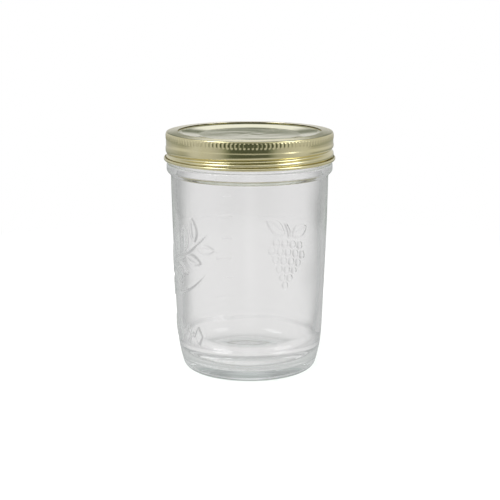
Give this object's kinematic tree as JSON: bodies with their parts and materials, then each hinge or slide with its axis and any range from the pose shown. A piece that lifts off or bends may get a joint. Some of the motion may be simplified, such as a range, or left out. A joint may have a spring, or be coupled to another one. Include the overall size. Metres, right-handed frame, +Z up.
{
  "type": "canning jar",
  "caption": "Wide-mouth glass canning jar with raised leaf decoration, closed by a gold lid disc under a threaded screw band.",
  "frame": {"origin": "centre of the base, on the plane the jar stands on", "axes": "+Z up the jar's axis to the lid; -Y towards the raised leaf emblem; +X to the emblem's right"},
  "size_m": [0.0888, 0.0888, 0.1253],
  "materials": {
    "clear_glass": "clear, fire-polished, slightly wavy",
    "gold_lid_lacquer": "gold-lacquered tinplate, glossy",
    "sealing_compound": "matt",
    "gold_band_lacquer": "gold-lacquered tinplate, glossy"
  },
  "bodies": {
    "jar": {"glass_jar": "clear_glass"},
    "lid": {"lid_disc": "gold_lid_lacquer", "sealing_ring": "sealing_compound"},
    "band": {"screw_band": "gold_band_lacquer"}
  },
  "joints": [
    {"name": "closure_lift", "type": "slide", "parent": "jar", "child": "lid", "axis": [0, 0, 1], "range_m": [0, 0.0153]},
    {"name": "band_turn", "type": "hinge", "parent": "lid", "child": "band", "pos_m": [0, 0, 0.118], "axis": [0, 0, 1], "range_deg": [0, 1080]}
  ],
  "couplings": [
    {"joint": "closure_lift", "follows": "band_turn", "m_per_rad": 0.00080851}
  ]
}
